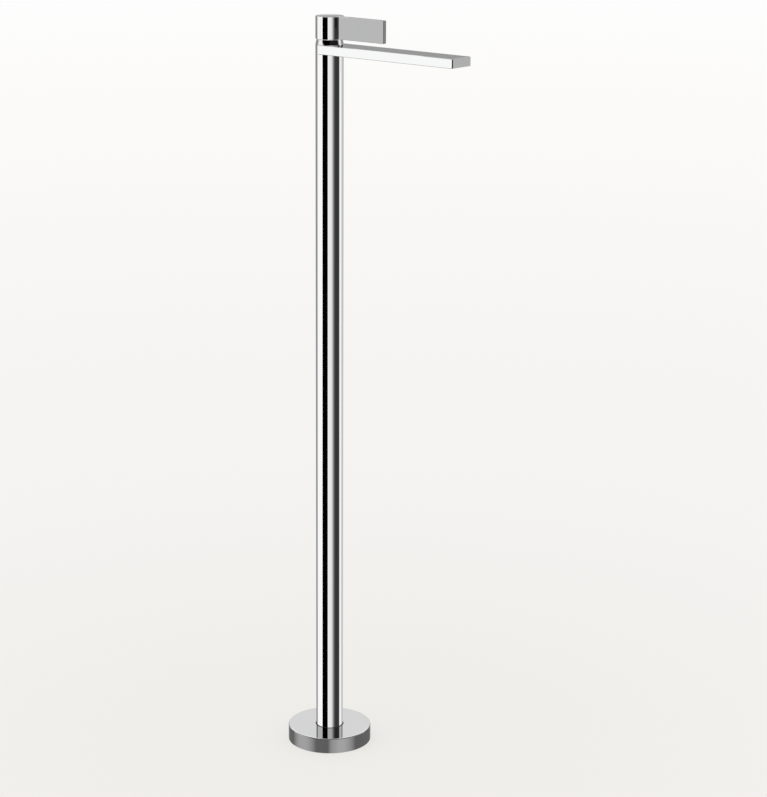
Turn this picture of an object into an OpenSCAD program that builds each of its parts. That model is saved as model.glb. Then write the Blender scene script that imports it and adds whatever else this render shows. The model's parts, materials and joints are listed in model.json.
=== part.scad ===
// Floor-standing single-lever basin mixer: a slim column on a floor flange, a flat bar spout,
// and a plate lever that turns for temperature and tilts for flow.
// Millimetres, +Z up. The origin is the centre of the floor bolt circle, on the floor.
// The spout points along +X, hot is on the -Y side and cold on the +Y side.

/* [Column] */
// Outer diameter of the column, which the spout's width and the handle match
column_d = 40; // [39:0.5:44]
// Wall of the column tube
column_wall = 2.5; // [2:0.1:2.8]
// Height of the spout's top face above the floor
spout_top = 1050; // [900:5:1200]

/* [Spout] */
// Reach of the spout from the column's axis to its tip
spout_reach = 236; // [200:1:260]
// Height of the spout bar
spout_h = 13; // [12.6:0.1:16]
// Wall of the spout round its water channel and its socket
spout_wall = 3; // [2.8:0.1:3.2]
// Width of the water channel in the spout
channel_w = 30; // [22:1:32]
// Distance from the spout's tip back to the outlet's axis
outlet_inset = 20; // [16:1:30]
// Radius of the upright corners of the spout's tip
tip_round = 1.2; // [0.5:0.1:6]

/* [Handle] */
// Height of the handle cap and of the lever plate
handle_h = 32; // [30:1:40]
// Side wall of the handle cap
handle_wall = 2; // [1.6:0.1:2.2]
// Thickness of the handle cap's top
handle_top_t = 3; // [2:0.5:5]
// Height of the gap between the spout's top face and the handle
handle_gap = 8; // [8:0.5:10]
// Reach of the lever plate from the column's axis
lever_reach = 101; // [70:1:130]
// Thickness of the lever plate
lever_t = 6; // [4:0.5:10]
// How much the neck ring narrows from the column's radius up to the handle's underside
neck_taper = 1.75; // [1.5:0.05:2]
// Largest tilt of the lever, in degrees
tilt_max = 20; // [15:1:20]

/* [Floor flange] */
// Outer diameter of the flange cover
flange_d = 124; // [118:1:150]
// Height of the flange cover
flange_h = 23; // [21:0.5:30]
// Wall of the flange cover
flange_wall = 2.5; // [2:0.1:3.5]
// Bevel round the flange cover's top edge
flange_bevel = 0.8; // [0.4:0.1:1.5]
// Gap round the column in the flange cover's top, where the O-ring shows
flange_gap = 1.2; // [0.6:0.1:1.4]

/* [Base plate] */
// Thickness of the base plate
plate_t = 8; // [6:0.5:10]
// Diameter of the floor bolt circle
bolt_pcd = 88; // [82:1:92]
// Diameter of the floor bolt holes
bolt_hole_d = 7; // [5:0.5:8]
// Diameter of the floor seal's ring section across
seal_w = 2.5; // [2:0.1:3]

/* [Inlets] */
// Distance between the axes of the hot and cold inlets
inlet_pitch = 26; // [24:0.5:30]
// Diameter of the inlet holes inside their thread
inlet_d = 15; // [13:0.1:16]
// Depth of the inlet threads
inlet_depth = 12; // [11:0.5:13]
// Distance between the axes of the two hoses
hose_pitch = 20; // [19:0.1:20.5]
// Outer diameter of the hoses
hose_d = 9; // [8:0.1:9.4]
// Bore of the hoses
hose_bore = 6; // [5:0.1:6.4]
// Diameter of the hose threads
hose_thread_d = 10; // [9:0.1:10.5]

/* [Cartridge] */
// Outer diameter of the cartridge
cartridge_d = 25; // [24.5:0.1:26]
// Thickness of each ceramic disc
disc_t = 3; // [2:0.1:3.5]
// Depth of the tilt axis below the spout's top face
pivot_depth = 11; // [10.5:0.1:12]
// Distance from the tilt axis down to the stem's ball
ball_arm = 15; // [14:0.1:15.5]
// Width of the stem's square
stem_w = 7; // [6:0.1:7.2]
// Diameter of the hinge pin
hinge_d = 3; // [2:0.1:3.2]

/* [Outlet] */
// Diameter of the aerator's thread
aerator_d = 18.5; // [16.5:0.1:20]
// Height of the aerator housing
aerator_h = 5.2; // [4.6:0.1:5.4]

/* [Clearances] */
// Radial clearance of turning, sliding and screwed fits
fit_gap = 0.05; // [0.03:0.01:0.08]
// Gap between pieces that pass each other
pass_gap = 0.3; // [0.2:0.05:0.4]
// Gap from the neck ring's top to the handle, which the tilting rim passes through
tilt_gap = 0.7; // [0.6:0.05:0.8]

/* [Hidden] */
$fn = 96;
cut = 1;                // how far a cutting shape runs past the face that it opens
sides = [-1, 1];        // hot side, then cold side

// Column and the socket at its head
column_r = column_d / 2;
tube_r = column_r - column_wall;
plug_r = tube_r - fit_gap;
spout_z = spout_top - spout_h;
socket_r = column_r - spout_wall;
neck_r = socket_r - fit_gap;

// Foot
inlet_wall = 3.5;
boss_r = inlet_pitch / 2 + inlet_d / 2 + inlet_wall;
hub_flange_w = 10;
hub_r = boss_r + hub_flange_w;
strainer_d = 12.8;
strainer_t = 1.5;
strainer_pitch = 2.2;
strainer_hole_d = 1.2;
strainer_roof = 0.5;    // metal left between the strainers and the column's end
foot_z = inlet_depth + strainer_t + strainer_roof;
hub_flange_t = foot_z - plate_t;
plate_gap = 4.5;
plate_r = flange_d / 2 - flange_wall - plate_gap;
spigot_h = 44;
spigot_z = foot_z + spigot_h;
seal_h = 1.8;
seal_inset = 1.5;
screw_d = 4;            // thread of the manifold screws and the column's grub screws
screw_head_d = 8;
screw_head_h = 2.3;
screw_hex = 2.5;
screw_end = 2;          // height of the manifold screws' ends above the floor
manifold_screw_count = 4;
grub_angles = [0, 180];
grub_rise = 3.5;         // height of the grub screws above the column's end
grub_z = foot_z + grub_rise;
grub_len = 6;
grub_hex = 2;
passage_d = 7;

// Flange cover
flange_r = flange_d / 2;
collar_wall = 4;
collar_h = 4.2;
ring_section = 1.9;     // section of the O-ring between the flange cover and the column
ring_groove_h = 2.2;
ring_groove_depth = 3.4; // from the flange cover's top to the groove's floor
ring_groove_z = flange_h - ring_groove_depth;
flange_bore_r = column_r + pass_gap;

// Hose ends
socket_depth = 10;
nipple_thread = 8;
nipple_bore = 4.4;
hex_af = 11;
hex_h = 3.5;
ferrule_wall = 1;
ferrule_h = 18;
barb_len = 15;
nipple_ring_h = 1.4;
nipple_ring_wall = 0.9;
valve_h = 95;
valve_z = spout_top - valve_h;

// Cartridge, from its top down
cartridge_r = cartridge_d / 2;
pocket_r = cartridge_r + fit_gap;
nut_wall = 2.55;
nut_bore_r = cartridge_r - 1.1;
nut_r = nut_bore_r + nut_wall;
nut_thread = 5;
nut_rise = 6;
nut_slot_w = 3;
nut_slot_h = 2;
housing_wall = 1.35;
housing_bore_r = cartridge_r - housing_wall;
housing_top = spout_top - nut_thread;
lip_t = 1.2;
lip_w = 1.6;
lip_r = housing_bore_r - lip_w;
pivot_z = spout_top - pivot_depth;
turret_r = housing_bore_r - fit_gap;
turret_top = housing_top - lip_t - pass_gap;
hinge_len = 2 * turret_r - 2;
turret_below = 11.7;    // depth of the turret below the tilt axis
turret_z = pivot_z - turret_below;
turret_slot = [-6, 7];  // reach of the slot for the stem along X
carrier_top = turret_z - pass_gap;
carrier_h = 8.5;
carrier_z = carrier_top - carrier_h;
disc_film = 0.05;       // water film between the ceramic discs
moving_z = carrier_z - disc_t;
fixed_z = moving_z - disc_film - disc_t;
base_step_h = 3;
base_foot_h = 3;
cartridge_z = fixed_z - base_step_h - base_foot_h;
slide_travel = ball_arm * tilt_max * PI / 180;
disc_x = -slide_travel / 2;
moving_r = 8.2;
recess_x = -4.3;
recess_r = 5.4;
recess_h = 1.5;
guide_w = 9;
guide_h = 2.2;
arm_slot = -4.6;        // how far the carrier's socket opens behind the stem's arm
socket_rise = 1;
ball_r = 2.5;
arm_r = 1.6;
ball_z = pivot_z - ball_arm;
inlet_port = [4, 5.2];
outlet_port = [-3.5, 0];
inlet_port_r = 2.2;
outlet_port_r = 2.6;
seal_section = 1.2;     // section of the small rings under the cartridge

// Water ways of the valve body
collect_depth = 7;
collect_z = cartridge_z - collect_depth;
collect_h = 4;
duct_dip = 2;           // how far below the collecting groove the inlet ducts branch off
drain_r = 2;
riser_r = 1.3;
riser_pos = (pocket_r + neck_r) / 2;
riser_angles = [-30, 0, 30];
channel_h = spout_h - 2 * spout_wall;
ring_gap = 0.5;         // edge of the neck groove inside the channel's height
body_ring_drop = 5;
body_ring_z = collect_z - body_ring_drop;
body_ring_h = 2;
body_ring_groove = 1.4;

// Spout
spout_ring_groove = 1.4;
spout_ring_h = 2;
channel_start = 12;
outlet_x = spout_reach - outlet_inset;
aerator_r = aerator_d / 2;
aerator_seal_h = 1.6;
aerator_pocket = aerator_h + aerator_seal_h;
aerator_wall = 2.2;
aerator_lip = 0.8;
key_slot = 2;           // slots for the aerator's key
key_depth = 0.8;
screen_pitch = 1.9;
screen_hole_r = 0.7;
screen_rim = 1.2;
regulator_holes_r = 4.2;
regulator_hole_r = 1;
plenum_r = 6.5;
throat_w = 12;
throat_gap = 0.1;       // from the aerator seal's top to the throat's floor
throat_len = 4;         // solid stretch between the channel's end and the outlet's pocket
insert_t = 2;           // thickness of the screen and of the flow regulator
lock_screw_len = 2.6;

// Handle
cap_z = spout_top + handle_gap;
cap_top = cap_z + handle_h;
cap_r = column_r;
cap_bore_r = cap_r - handle_wall;
neck_top = cap_z - tilt_gap;
neck_top_r = column_r - neck_taper * (neck_top - spout_top) / handle_gap;
adapter_r = 6.5;
adapter_rise = 6;       // how far the stem adapter stays above the handle's underside
adapter_z = cap_z + adapter_rise;
adapter_h = 18;
boss_wall = 3.5;
boss_rise = 2;
cap_boss_z = adapter_z + boss_rise;
stem_top = adapter_z + adapter_h;
grub_d = 5;
handle_grub_z = cap_z + handle_h / 2;
handle_grub_len = 9;
plug_t = 2.5;

// Shared shapes
module ring(r_out, r_in, h) {
  difference() {
    cylinder(h = h, r = r_out);
    translate([0, 0, -cut]) cylinder(h = h + 2 * cut, r = r_in);
  }
}

module torus(r, section_r) {
  rotate_extrude() translate([r, 0]) circle(r = section_r, $fn = 24);
}

module block(x, y, z) {
  translate([x[0], y[0], z[0]]) cube([x[1] - x[0], y[1] - y[0], z[1] - z[0]]);
}

module hexagon(af, h) {
  cylinder(h = h, r = af / 2 / cos(30), $fn = 6);
}

// A round way drilled straight from one point to another
module duct(from, to, r) {
  way = to - from;
  translate(from) rotate([0, acos(way.z / norm(way)), atan2(way.y, way.x)])
    cylinder(h = norm(way), r = r);
}

// A grub screw along Z, its hex socket open at the top
module grub(d, len, hex) {
  difference() {
    cylinder(h = len, d = d);
    translate([0, 0, len - len / 3]) hexagon(hex, len);
  }
}

module at_hoses() {
  for (s = sides) translate([0, s * hose_pitch / 2, 0]) children();
}

module at_inlets() {
  for (s = sides) translate([0, s * inlet_pitch / 2, 0]) children();
}

module at_manifold_screws() {
  for (i = [0 : manifold_screw_count - 1])
    rotate(i * 360 / manifold_screw_count)
      translate([boss_r + hub_flange_w / 2, 0, plate_t + hub_flange_t]) children();
}

// Foot
module base_plate() {
  color("darkgray") difference() {
    cylinder(h = plate_t, r = plate_r);
    translate([0, 0, -cut]) cylinder(h = plate_t + 2 * cut, r = boss_r + pass_gap);
    for (i = [0 : 3]) rotate(45 + 90 * i)
      translate([bolt_pcd / 2, 0, -cut]) cylinder(h = plate_t + 2 * cut, d = bolt_hole_d);
    translate([0, 0, -cut]) ring(plate_r - seal_inset, plate_r - seal_inset - seal_w, seal_h + cut);
    at_manifold_screws() translate([0, 0, -foot_z - cut]) cylinder(h = foot_z + cut, d = screw_d);
  }
}

module floor_seal() {
  color("dimgray") ring(plate_r - seal_inset, plate_r - seal_inset - seal_w, seal_h);
}

module foot_manifold() {
  color("goldenrod") difference() {
    union() {
      cylinder(h = foot_z, r = boss_r);
      translate([0, 0, plate_t]) cylinder(h = hub_flange_t, r = hub_r);
      cylinder(h = spigot_z, r = plug_r);
    }
    at_inlets() {
      translate([0, 0, -cut]) cylinder(h = inlet_depth + cut, d = inlet_d);
      cylinder(h = inlet_depth + strainer_t, d = strainer_d);
    }
    at_hoses() {
      translate([0, 0, inlet_depth]) cylinder(h = spigot_z - inlet_depth, d = passage_d);
      translate([0, 0, spigot_z - socket_depth]) cylinder(h = socket_depth + cut, d = hose_thread_d);
    }
    at_manifold_screws() {
      translate([0, 0, -hub_flange_t - cut]) cylinder(h = hub_flange_t + 2 * cut, d = screw_d);
      translate([0, 0, -screw_head_h]) cylinder(h = screw_head_h + cut, d = screw_head_d);
    }
    for (a = grub_angles) rotate(a) translate([column_r - grub_len - pass_gap, 0, grub_z])
      rotate([0, 90, 0]) cylinder(h = grub_len, d = screw_d);
  }
}

module manifold_screws() {
  color("silver") at_manifold_screws() difference() {
    union() {
      translate([0, 0, screw_end - foot_z]) cylinder(h = foot_z - screw_end, d = screw_d);
      translate([0, 0, -screw_head_h]) cylinder(h = screw_head_h, d = screw_head_d);
    }
    translate([0, 0, -screw_head_h / 2]) hexagon(screw_hex, screw_head_h);
  }
}

module column_tube() {
  color("silver") difference() {
    translate([0, 0, foot_z]) ring(column_r, tube_r, spout_z - foot_z);
    for (a = grub_angles) rotate(a) translate([tube_r - cut, 0, grub_z])
      rotate([0, 90, 0]) cylinder(h = column_wall + 2 * cut, d = screw_d);
  }
}

module column_grub_screws() {
  color("dimgray") for (a = grub_angles) rotate(a)
    translate([column_r - grub_len - pass_gap, 0, grub_z])
      rotate([0, 90, 0]) grub(screw_d, grub_len, grub_hex);
}

module inlet_strainers() {
  color("white") at_inlets() translate([0, 0, inlet_depth]) difference() {
    cylinder(h = strainer_t, d = strainer_d);
    for (i = [-2 : 2], j = [-2 : 2]) if (abs(i) + abs(j) < 4)
      translate([i * strainer_pitch, j * strainer_pitch, -cut])
        cylinder(h = strainer_t + 2 * cut, d = strainer_hole_d, $fn = 16);
  }
}

// Hoses, held inside the column from the foot manifold up to the valve body
hose_z = spigot_z + hex_h;
hose_top = valve_z - hex_h;

module hose(side) {
  translate([0, side * hose_pitch / 2, hose_z]) ring(hose_d / 2, hose_bore / 2, hose_top - hose_z);
}

module hot_hose() {
  color("gainsboro") hose(-1);
}

module cold_hose() {
  color("gainsboro") hose(1);
}

module hose_ferrules() {
  color("silver") at_hoses() for (z = [hose_z, hose_top - ferrule_h])
    translate([0, 0, z]) ring(hose_d / 2 + ferrule_wall, hose_d / 2, ferrule_h);
}

// A hose's end piece, its thread pointing down and its barb up into the hose
module nipple() {
  difference() {
    union() {
      translate([0, 0, -nipple_thread]) cylinder(h = nipple_thread, r = hose_thread_d / 2 - fit_gap);
      hexagon(hex_af, hex_h);
      cylinder(h = hex_h + barb_len, r = hose_bore / 2 - fit_gap);
    }
    translate([0, 0, -nipple_thread - cut])
      cylinder(h = nipple_thread + hex_h + barb_len + 2 * cut, d = nipple_bore);
    translate([0, 0, -nipple_ring_h])
      ring(hose_thread_d, hose_thread_d / 2 - nipple_ring_wall, nipple_ring_h);
  }
}

module hose_nipples() {
  color("gold") at_hoses() {
    translate([0, 0, spigot_z]) nipple();
    translate([0, 0, valve_z]) mirror([0, 0, 1]) nipple();
  }
}

module hose_o_rings() {
  color("black") at_hoses() for (z = [spigot_z - nipple_ring_h, valve_z])
    translate([0, 0, z]) ring(hose_thread_d / 2, hose_thread_d / 2 - nipple_ring_wall, nipple_ring_h);
}

// Valve body: carries the cartridge, takes the hoses below and feeds the spout at its neck
module valve_body() {
  color("goldenrod") difference() {
    union() {
      translate([0, 0, valve_z]) cylinder(h = spout_z - valve_z, r = plug_r);
      translate([0, 0, spout_z]) cylinder(h = spout_h, r = neck_r);
    }
    translate([0, 0, cartridge_z]) cylinder(h = spout_top - cartridge_z + cut, r = pocket_r);
    translate([0, 0, housing_top]) cylinder(h = nut_thread + cut, r = nut_r + fit_gap);
    at_hoses() {
      translate([0, 0, valve_z - cut]) cylinder(h = socket_depth + cut, d = hose_thread_d);
      translate([0, 0, valve_z]) cylinder(h = collect_z - valve_z, d = passage_d - 1);
    }
    for (s = sides)
      duct([0, s * hose_pitch / 2, collect_z - duct_dip],
           [inlet_port.x, s * inlet_port.y, cartridge_z + cut / 2], inlet_port_r);
    translate([outlet_port.x, outlet_port.y, collect_z])
      cylinder(h = cartridge_z - collect_z + cut, r = outlet_port_r);
    duct([outlet_port.x, 0, collect_z + collect_h / 2], [-column_r, 0, collect_z + collect_h / 2], drain_r);
    translate([0, 0, collect_z]) ring(column_r, riser_pos, collect_h);
    translate([0, 0, spout_z + spout_wall + ring_gap]) ring(column_r, riser_pos, channel_h - 2 * ring_gap);
    for (a = riser_angles) rotate(a) translate([riser_pos, 0, collect_z + collect_h / 2])
      cylinder(h = spout_z + spout_wall + channel_h / 2 - collect_z - collect_h / 2, r = riser_r);
    translate([0, 0, body_ring_z]) ring(column_r, plug_r - body_ring_groove, body_ring_h);
  }
}

module valve_body_seal() {
  section_r = (body_ring_groove + fit_gap) / 2;
  color("black") translate([0, 0, body_ring_z + body_ring_h / 2]) torus(tube_r - section_r, section_r);
}

// Spout: a flat bar as wide as the column, round where it sits on it
module spout_outline() {
  corner = [spout_reach - tip_round, column_r - tip_round];
  circle(r = column_r);
  translate([0, -column_r]) square([corner.x, 2 * column_r]);
  translate([corner.x - cut, -corner.y]) square([tip_round + cut, 2 * corner.y]);
  for (s = sides) translate([corner.x, s * corner.y]) circle(r = tip_round);
}

module spout_body() {
  color("silver") difference() {
    translate([0, 0, spout_z]) linear_extrude(spout_h) spout_outline();
    translate([0, 0, spout_z - cut]) cylinder(h = spout_h + 2 * cut, r = socket_r);
    block([channel_start, outlet_x - aerator_r - throat_len], [-channel_w / 2, channel_w / 2],
          [spout_z + spout_wall, spout_top - spout_wall]);
    block([channel_start, outlet_x], [-throat_w / 2, throat_w / 2],
          [spout_z + aerator_pocket + throat_gap, spout_top - spout_wall]);
    translate([outlet_x, 0, spout_z - cut]) cylinder(h = aerator_pocket + cut, r = aerator_r);
    translate([outlet_x, 0, spout_z]) cylinder(h = spout_h - spout_wall, r = plenum_r);
    for (z = [ring_gap, spout_h - ring_gap - spout_ring_h])
      translate([0, 0, spout_z + z]) cylinder(h = spout_ring_h, r = socket_r + spout_ring_groove);
    translate([-column_r - cut, 0, spout_z + spout_h / 2])
      rotate([0, 90, 0]) cylinder(h = spout_wall + 2 * cut, d = screw_d);
  }
}

module spout_o_rings() {
  color("black") for (z = [ring_gap, spout_h - ring_gap - spout_ring_h])
    translate([0, 0, spout_z + z + spout_ring_h / 2])
      torus(socket_r + spout_ring_groove / 2, spout_ring_groove / 2);
}

module spout_lock_screw() {
  color("silver") translate([-socket_r, 0, spout_z + spout_h / 2])
    rotate([0, -90, 0]) grub(screw_d, lock_screw_len, grub_hex);
}

// Outlet
module aerator_housing() {
  color("silver") translate([outlet_x, 0, spout_z]) difference() {
    ring(aerator_r - fit_gap, aerator_r - aerator_wall, aerator_h);
    for (a = [0 : 90 : 270]) rotate(a)
      translate([aerator_r - key_slot / 2, 0, 0]) cube([key_slot, key_slot, 2 * key_depth], center = true);
  }
  color("silver") translate([outlet_x, 0, spout_z])
    ring(aerator_r - aerator_wall, aerator_r - aerator_wall - aerator_lip, aerator_lip);
}

module aerator_screen() {
  color("white") translate([outlet_x, 0, spout_z + aerator_lip]) difference() {
    cylinder(h = insert_t, r = aerator_r - aerator_wall);
    for (i = [-3 : 3], j = [-3 : 3]) {
      at = screen_pitch * [i + j / 2, j * sin(60)];
      if (norm(at) < aerator_r - aerator_wall - screen_rim)
        translate([at.x, at.y, -cut]) cylinder(h = insert_t + 2 * cut, r = screen_hole_r, $fn = 16);
    }
  }
}

module flow_regulator() {
  color("lightgray") translate([outlet_x, 0, spout_z + aerator_lip + insert_t]) difference() {
    cylinder(h = insert_t, r = aerator_r - aerator_wall);
    for (a = [0 : 60 : 300]) rotate(a) translate([regulator_holes_r, 0, -cut])
      cylinder(h = insert_t + 2 * cut, r = regulator_hole_r, $fn = 24);
  }
}

module aerator_seal() {
  color("black") translate([outlet_x, 0, spout_z + aerator_h])
    ring(aerator_r - fit_gap, plenum_r, aerator_seal_h);
}

// Cartridge
module ports(h) {
  for (s = sides) translate([inlet_port.x, s * inlet_port.y, -cut])
    cylinder(h = h + 2 * cut, r = inlet_port_r);
  translate([outlet_port.x, outlet_port.y, -cut]) cylinder(h = h + 2 * cut, r = outlet_port_r);
}

module at_ports() {
  for (s = sides) translate([inlet_port.x, s * inlet_port.y, 0]) children(0);
  translate([outlet_port.x, outlet_port.y, 0]) children(1);
}

module cartridge_base() {
  color("whitesmoke") translate([0, 0, cartridge_z]) difference() {
    union() {
      cylinder(h = base_foot_h, r = cartridge_r);
      cylinder(h = base_foot_h + base_step_h, r = housing_bore_r);
    }
    ports(base_foot_h + base_step_h);
    at_ports() {
      translate([0, 0, -cut]) cylinder(h = seal_section + cut, r = inlet_port_r + seal_section);
      translate([0, 0, -cut]) cylinder(h = seal_section + cut, r = outlet_port_r + seal_section);
    }
  }
}

module cartridge_base_seals() {
  color("black") translate([0, 0, cartridge_z]) at_ports() {
    ring(inlet_port_r + seal_section, inlet_port_r, seal_section);
    ring(outlet_port_r + seal_section, outlet_port_r, seal_section);
  }
}

module fixed_disc() {
  color("white") translate([0, 0, fixed_z]) difference() {
    cylinder(h = disc_t, r = housing_bore_r);
    ports(disc_t);
  }
}

module cartridge_housing() {
  color("whitesmoke") translate([0, 0, cartridge_z + base_foot_h]) difference() {
    ring(cartridge_r, lip_r, housing_top - cartridge_z - base_foot_h);
    translate([0, 0, -cut])
      cylinder(h = housing_top - lip_t - cartridge_z - base_foot_h + cut, r = housing_bore_r);
  }
}

module cartridge_nut() {
  color("gold") translate([0, 0, housing_top]) difference() {
    ring(nut_r, nut_bore_r, nut_thread + nut_rise);
    for (a = [0 : 60 : 300]) rotate(a) translate([nut_r, 0, nut_thread + nut_rise])
      cube([2 * nut_slot_w, nut_slot_w, 2 * nut_slot_h], center = true);
  }
}

// Cone that covers the cartridge nut between the spout and the handle
module neck_ring() {
  color("silver") translate([0, 0, spout_top]) difference() {
    cylinder(h = neck_top - spout_top, r1 = column_r, r2 = neck_top_r);
    translate([0, 0, -cut]) cylinder(h = neck_top - spout_top + 2 * cut, r = nut_r + fit_gap);
  }
}

module turret() {
  color("white") difference() {
    translate([0, 0, turret_z]) cylinder(h = turret_top - turret_z, r = turret_r);
    block(turret_slot, [-stem_w / 2 - pass_gap, stem_w / 2 + pass_gap], [turret_z - cut, turret_top + cut]);
    block([-cartridge_r, cartridge_r], [-guide_w / 2 - pass_gap, guide_w / 2 + pass_gap],
          [turret_z - cut, turret_z + guide_h + pass_gap]);
    translate([0, 0, pivot_z]) rotate([90, 0, 0]) cylinder(h = hinge_len, d = hinge_d, center = true);
  }
}

module hinge_pin() {
  color("silver") translate([0, 0, pivot_z]) rotate([90, 0, 0])
    cylinder(h = hinge_len, d = hinge_d, center = true);
}

// Carrier that the stem's ball pushes along X, with the moving disc under it
module disc_carrier() {
  socket = ball_r + pass_gap;
  color("gainsboro") difference() {
    union() {
      translate([disc_x, 0, carrier_z]) cylinder(h = carrier_h, r = moving_r);
      intersection() {
        translate([disc_x, 0, carrier_z]) cylinder(h = carrier_h + pass_gap + guide_h, r = moving_r);
        block([-cartridge_r, cartridge_r], [-guide_w / 2, guide_w / 2],
              [carrier_z, carrier_top + guide_h]);
      }
    }
    translate([0, 0, ball_z - socket]) cylinder(h = socket + socket_rise, r = socket);
    block([arm_slot, socket], [-socket, socket], [ball_z + socket_rise, carrier_top + guide_h + cut]);
  }
}

module moving_disc() {
  color("white") difference() {
    translate([disc_x, 0, moving_z]) cylinder(h = disc_t, r = moving_r);
    translate([recess_x, 0, moving_z - cut]) cylinder(h = recess_h + cut, r = recess_r);
  }
}

// Handle
module stem() {
  half = stem_w / 2;
  color("silver") difference() {
    union() {
      block([-half, half], [-half, half], [pivot_z - half, stem_top]);
      translate([0, 0, ball_z]) cylinder(h = ball_arm - half, r = arm_r);
      translate([0, 0, ball_z]) sphere(r = ball_r);
    }
    translate([0, 0, pivot_z]) rotate([90, 0, 0])
      cylinder(h = stem_w + 2 * cut, r = hinge_d / 2 + fit_gap, center = true);
  }
}

module handle_grub_hole(r) {
  translate([-cap_r - cut, 0, handle_grub_z]) rotate([0, 90, 0]) cylinder(h = cap_r, r = r);
}

module stem_adapter() {
  half = stem_w / 2;
  color("ivory") difference() {
    translate([0, 0, adapter_z]) cylinder(h = adapter_h, r = adapter_r);
    block([-half, half], [-half, half], [adapter_z - cut, stem_top + cut]);
    handle_grub_hole(grub_d / 2);
  }
}

module handle_cap() {
  color("silver") difference() {
    union() {
      translate([0, 0, cap_z]) ring(cap_r, cap_bore_r, handle_h - handle_top_t);
      translate([0, 0, cap_top - handle_top_t]) cylinder(h = handle_top_t, r = cap_r);
      translate([0, 0, cap_boss_z]) cylinder(h = cap_top - cap_boss_z - 1, r = adapter_r + boss_wall);
    }
    translate([0, 0, adapter_z]) cylinder(h = adapter_h, r = adapter_r);
    handle_grub_hole(grub_d / 2);
  }
}

module lever_plate() {
  color("silver") difference() {
    block([column_r - handle_wall, lever_reach], [-lever_t / 2, lever_t / 2], [cap_z, cap_top]);
    translate([0, 0, cap_z - cut]) cylinder(h = handle_h + 2 * cut, r = cap_r);
  }
}

module handle_grub_screw() {
  color("dimgray") translate([-stem_w / 2, 0, handle_grub_z])
    rotate([0, -90, 0]) grub(grub_d, handle_grub_len, screw_hex);
}

// Plug that closes the grub screw's hole flush with the handle's back
module screw_plug() {
  color("silver") intersection() {
    translate([-cap_r, 0, handle_grub_z]) rotate([0, 90, 0]) cylinder(h = plug_t, d = grub_d);
    translate([0, 0, cap_z]) cylinder(h = handle_h, r = cap_r);
  }
}

// Flange cover: slides up the column from the floor
module flange_cover() {
  color("silver") difference() {
    rotate_extrude() polygon([
      [0, 0], [flange_r, 0], [flange_r, flange_h - flange_bevel],
      [flange_r - flange_bevel, flange_h], [0, flange_h]
    ]);
    difference() {
      translate([0, 0, -cut]) cylinder(h = flange_h - flange_wall + cut, r = flange_r - flange_wall);
      translate([0, 0, flange_h - collar_h]) cylinder(h = collar_h, r = flange_bore_r + collar_wall);
    }
    translate([0, 0, -cut]) cylinder(h = flange_h + 2 * cut, r = flange_bore_r);
    translate([0, 0, ring_groove_z]) cylinder(h = ring_groove_h, r = column_r + fit_gap + ring_section);
    translate([0, 0, ring_groove_z + ring_groove_h / 2])
      cylinder(h = ring_groove_depth, r = column_r + flange_gap);
  }
}

module flange_o_ring() {
  color("black") translate([0, 0, ring_groove_z + ring_groove_h / 2])
    torus(column_r + fit_gap + ring_section / 2, ring_section / 2);
}

base_plate();
floor_seal();
foot_manifold();
manifold_screws();
column_tube();
column_grub_screws();
inlet_strainers();
hot_hose();
cold_hose();
hose_ferrules();
hose_nipples();
hose_o_rings();
valve_body();
valve_body_seal();
spout_body();
spout_o_rings();
spout_lock_screw();
aerator_housing();
flow_regulator();
aerator_screen();
aerator_seal();
cartridge_base();
cartridge_base_seals();
fixed_disc();
cartridge_housing();
cartridge_nut();
neck_ring();
turret();
hinge_pin();
disc_carrier();
moving_disc();
stem();
stem_adapter();
handle_cap();
lever_plate();
handle_grub_screw();
screw_plug();
flange_cover();
flange_o_ring();
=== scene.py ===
# Floor-standing basin mixer: polished pieces, finishes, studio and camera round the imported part

import json
import math

import bmesh
import bpy
from mathutils import Matrix


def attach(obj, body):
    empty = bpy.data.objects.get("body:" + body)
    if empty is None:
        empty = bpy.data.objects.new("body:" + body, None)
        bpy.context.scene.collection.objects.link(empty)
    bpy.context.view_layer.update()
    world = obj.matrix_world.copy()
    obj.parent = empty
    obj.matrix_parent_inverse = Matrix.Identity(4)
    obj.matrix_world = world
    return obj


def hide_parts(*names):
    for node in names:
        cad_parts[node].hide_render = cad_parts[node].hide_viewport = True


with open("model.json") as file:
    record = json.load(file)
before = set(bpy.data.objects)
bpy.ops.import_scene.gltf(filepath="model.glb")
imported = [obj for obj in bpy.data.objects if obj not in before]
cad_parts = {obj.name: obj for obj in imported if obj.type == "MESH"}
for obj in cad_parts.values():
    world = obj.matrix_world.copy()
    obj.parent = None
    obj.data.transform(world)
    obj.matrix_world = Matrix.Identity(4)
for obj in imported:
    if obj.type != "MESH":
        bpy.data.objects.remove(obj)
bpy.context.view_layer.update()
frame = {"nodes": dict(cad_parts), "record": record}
scene = bpy.context.scene
scene.view_settings.view_transform = "Standard"
print("frame loaded:", len(frame["nodes"]), "nodes")

# Camera, at the photo's view

photoView = {
    "heading": math.radians(41.25),  # round the column, from -Y towards +X
    "distance": 3.3496,  # from the column's axis, along the floor
    "height": 1.4506,
    "pitch": math.radians(15.31),  # how far it looks down
    "lens": 111.46,
    "shift": 0.0703,  # brings the column left of the middle, as in the photo
}


def placeCamera():
    data = bpy.data.cameras.new("photoCamera")
    data.sensor_fit = "HORIZONTAL"
    data.sensor_width = 36
    data.lens = photoView["lens"]
    data.shift_x = photoView["shift"]
    data.clip_end = 200
    camera = bpy.data.objects.new("photoCamera", data)
    heading, distance = photoView["heading"], photoView["distance"]
    camera.location = (distance * math.sin(heading), -distance * math.cos(heading), photoView["height"])
    camera.rotation_euler = (math.pi / 2 - photoView["pitch"], 0, heading)
    scene.collection.objects.link(camera)
    scene.camera = camera


placeCamera()
print("camera placed")

# Node helpers


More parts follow.
